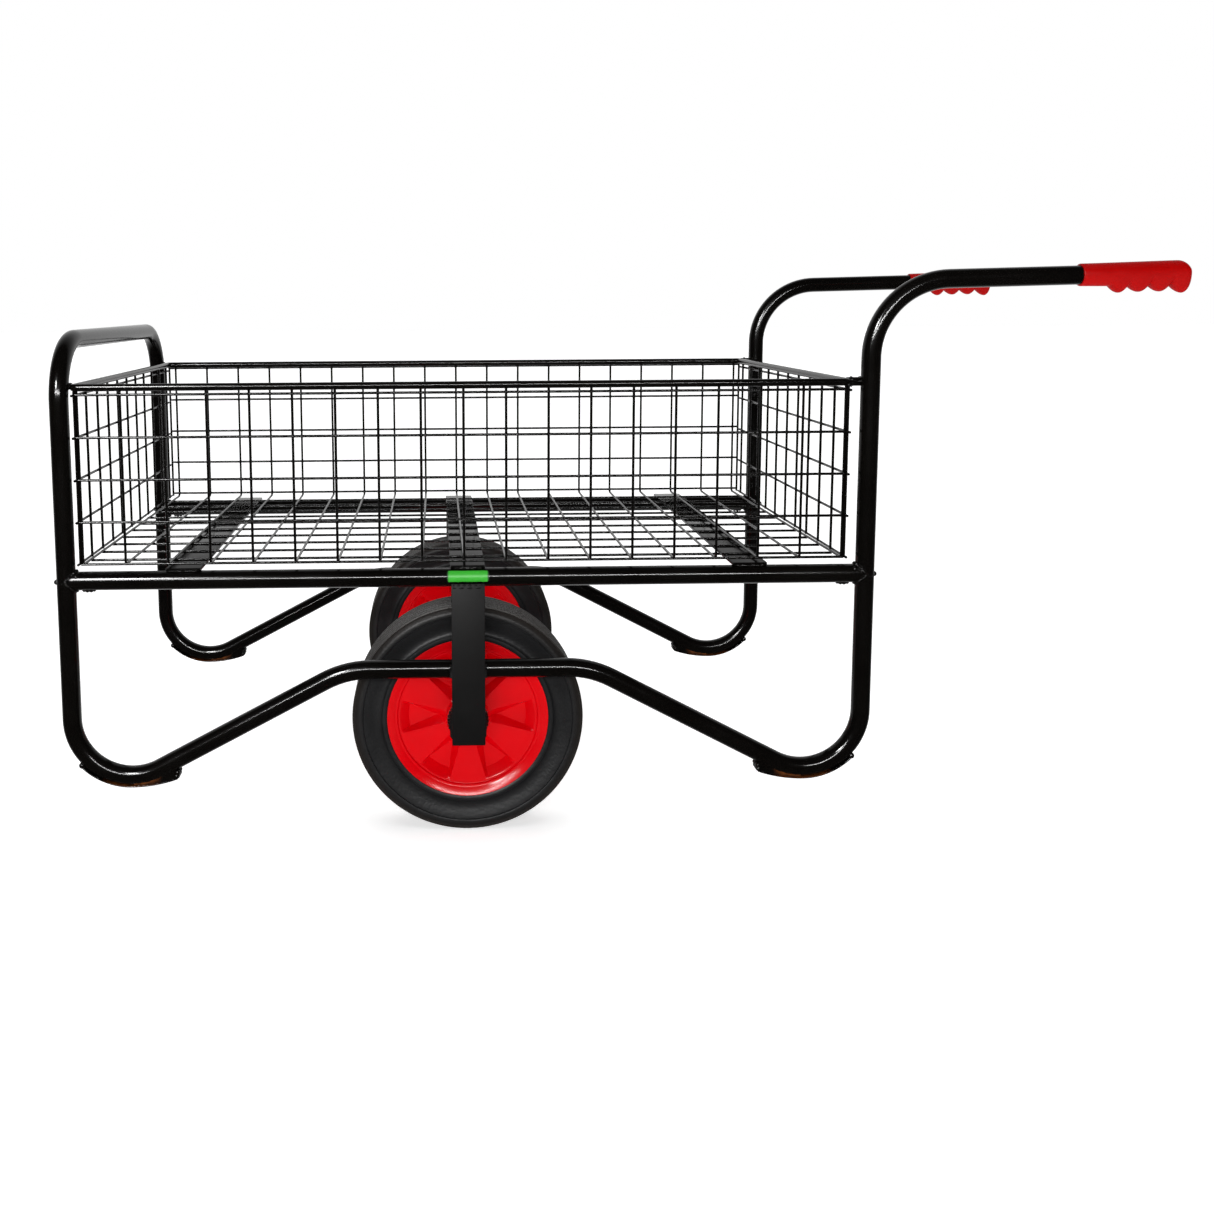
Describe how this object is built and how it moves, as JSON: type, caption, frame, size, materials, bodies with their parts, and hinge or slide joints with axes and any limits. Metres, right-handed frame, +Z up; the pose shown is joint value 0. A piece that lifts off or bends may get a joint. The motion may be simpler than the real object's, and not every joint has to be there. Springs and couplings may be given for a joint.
{
  "type": "garden cart",
  "caption": "Two-wheel mesh-sided platform cart with a bent tube frame, front hoop, skid feet, long push handles with grips, and free-turning wheels.",
  "frame": {"origin": "middle of the bounding box at the level of the wheels' lowest points", "axes": "+X towards the handles, +Z up, +Y completes the right-handed frame: a person pushing the cart faces -X, so -Y is on their left"},
  "size_m": [2.0117, 0.836, 1.0541],
  "materials": {
    "frame_paint": "gloss black powder coat",
    "wheel_red": "moulded gloss",
    "tyre_rubber": "matt, dusty",
    "bush_plastic": "matt",
    "axle_steel": "zinc plated",
    "grip_red": "soft vinyl",
    "label_green": "printed vinyl"
  },
  "bodies": {
    "root": {"front_hoop": "frame_paint", "deck_slat_front": "frame_paint", "deck_slat_middle": "frame_paint", "deck_slat_rear": "frame_paint", "basket_rim": "frame_paint", "mesh_floor": "frame_paint", "mesh_front": "frame_paint", "mesh_rear": "frame_paint", "handle_tube_left": "frame_paint", "leg_tube_left": "frame_paint", "side_rail_left": "frame_paint", "axle_strap_left": "frame_paint", "axle_plate_left": "frame_paint", "foot_skid_front_left": "frame_paint", "foot_skid_rear_left": "frame_paint", "mesh_side_left": "frame_paint", "rim_stub_left": "frame_paint", "axle_spacer_left": "axle_steel", "axle_washer_left": "axle_steel", "axle_collar_left": "axle_steel", "hand_grip_left": "grip_red", "handle_tube_right": "frame_paint", "leg_tube_right": "frame_paint", "side_rail_right": "frame_paint", "axle_strap_right": "frame_paint", "axle_plate_right": "frame_paint", "foot_skid_front_right": "frame_paint", "foot_skid_rear_right": "frame_paint", "mesh_side_right": "frame_paint", "rim_stub_right": "frame_paint", "axle_spacer_right": "axle_steel", "axle_washer_right": "axle_steel", "axle_collar_right": "axle_steel", "hand_grip_right": "grip_red", "axle_shaft": "axle_steel", "maker_label": "label_green"},
    "wheel_left": {"wheel_centre_left": "wheel_red", "tyre_left": "tyre_rubber", "hub_bush_outer_left": "bush_plastic", "hub_bush_inner_left": "bush_plastic", "hub_disc_left": "bush_plastic"},
    "wheel_right": {"wheel_centre_right": "wheel_red", "tyre_right": "tyre_rubber", "hub_bush_outer_right": "bush_plastic", "hub_bush_inner_right": "bush_plastic", "hub_disc_right": "bush_plastic"}
  },
  "joints": [
    {"name": "wheel_spin_left", "type": "hinge", "parent": "root", "child": "wheel_left", "pos_m": [-0.2715, -0.303, 0.215], "axis": [0, 1, 0], "continuous": true},
    {"name": "wheel_spin_right", "type": "hinge", "parent": "root", "child": "wheel_right", "pos_m": [-0.2715, 0.303, 0.215], "axis": [0, 1, 0], "continuous": true}
  ]
}
